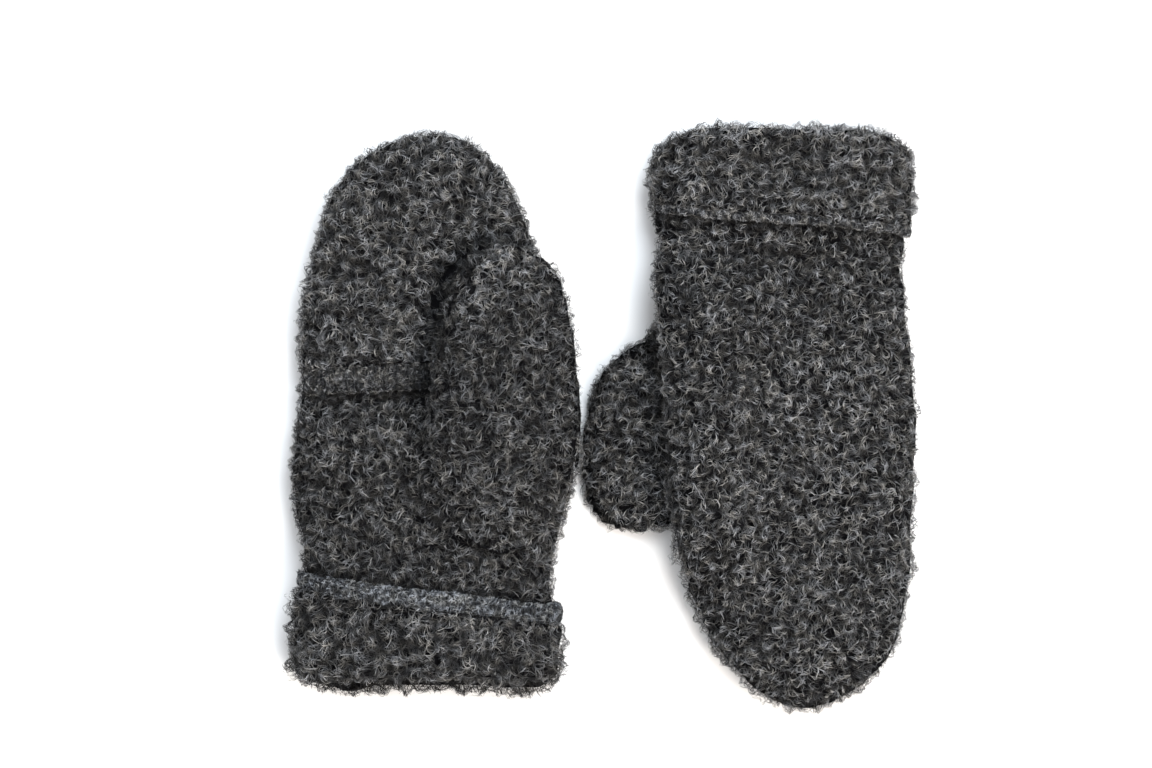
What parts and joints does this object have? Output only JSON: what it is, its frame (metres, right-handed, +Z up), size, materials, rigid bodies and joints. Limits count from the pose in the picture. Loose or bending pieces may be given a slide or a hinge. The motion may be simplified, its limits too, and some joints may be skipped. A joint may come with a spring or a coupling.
{
  "type": "pair of baby mittens",
  "caption": "Pair of thick wool-pile mittens for a small child, laid flat: one palm up with a finger flap across the palm, one back up, both with turned-up cuffs.",
  "frame": {"origin": "middle of the pair's footprint, on the surface that it lies on", "axes": "+X from the palm-up right-hand mitten to the back-up left-hand mitten, +Y along the palm-up mitten's fingers, +Z up"},
  "size_m": [0.1702, 0.1594, 0.0284],
  "materials": {
    "wool_pile": "charcoal heather curly wool pile",
    "knit_edge": "close knit wool edge, darker than the pile"
  },
  "bodies": {
    "root": {"right_hand_back_panel": "wool_pile", "right_hand_palm_panel": "wool_pile", "right_hand_finger_flap": "wool_pile", "right_hand_flap_band": "knit_edge", "right_hand_thumb_front": "wool_pile", "right_hand_thumb_back": "wool_pile", "right_hand_cuff_palm": "wool_pile", "right_hand_cuff_back": "wool_pile", "right_hand_cuff_band_palm": "knit_edge", "right_hand_cuff_band_back": "knit_edge", "left_hand_back_panel": "wool_pile", "left_hand_palm_panel": "wool_pile", "left_hand_finger_flap": "wool_pile", "left_hand_flap_band": "knit_edge", "left_hand_thumb_front": "wool_pile", "left_hand_thumb_back": "wool_pile", "left_hand_cuff_palm": "wool_pile", "left_hand_cuff_back": "wool_pile", "left_hand_cuff_band_palm": "knit_edge", "left_hand_cuff_band_back": "knit_edge"}
  },
  "joints": []
}
